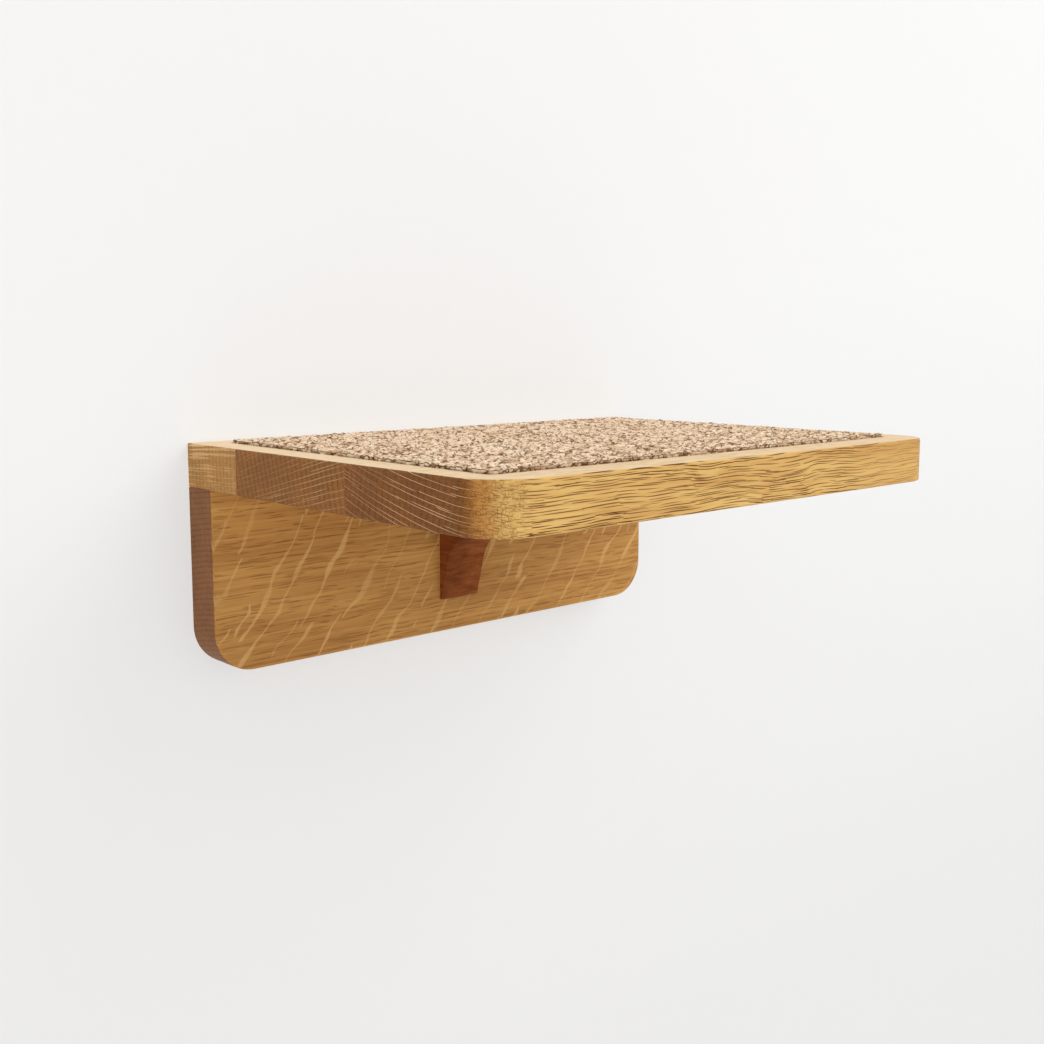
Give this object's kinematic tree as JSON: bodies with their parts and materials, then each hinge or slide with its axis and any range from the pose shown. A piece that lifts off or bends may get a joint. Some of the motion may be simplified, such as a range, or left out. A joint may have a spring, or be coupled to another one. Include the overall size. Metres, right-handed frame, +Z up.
{
  "type": "cat climbing wall step",
  "caption": "Wall-hung oak cat step: shelf with rounded front corners and an inlaid cork mat, on an oak back plate with a dark wood bracket and keyhole plates behind.",
  "frame": {"origin": "on the wall plane, midway between the round entries of the two keyhole plates", "axes": "+X along the wall to the right as seen by someone facing it, +Y into the wall, +Z up"},
  "size_m": [0.28, 0.21, 0.1055],
  "materials": {
    "oak": "oiled",
    "dark_wood": "oiled",
    "cork": "raw pressed granules",
    "beech": "raw",
    "plated_steel": "zinc plated"
  },
  "bodies": {
    "root": {"shelf_rear_stave": "oak", "shelf_middle_stave": "oak", "shelf_front_stave": "oak", "cork_mat": "cork", "back_plate": "oak", "bracket": "dark_wood", "shelf_dowel_outer_left": "beech", "shelf_dowel_outer_right": "beech", "shelf_dowel_inner_left": "beech", "shelf_dowel_inner_right": "beech", "bracket_dowel_rear": "beech", "bracket_dowel_front": "beech", "left_keyhole_plate": "plated_steel", "right_keyhole_plate": "plated_steel", "hanger_screws": "plated_steel", "bracket_screws": "plated_steel"}
  },
  "joints": []
}
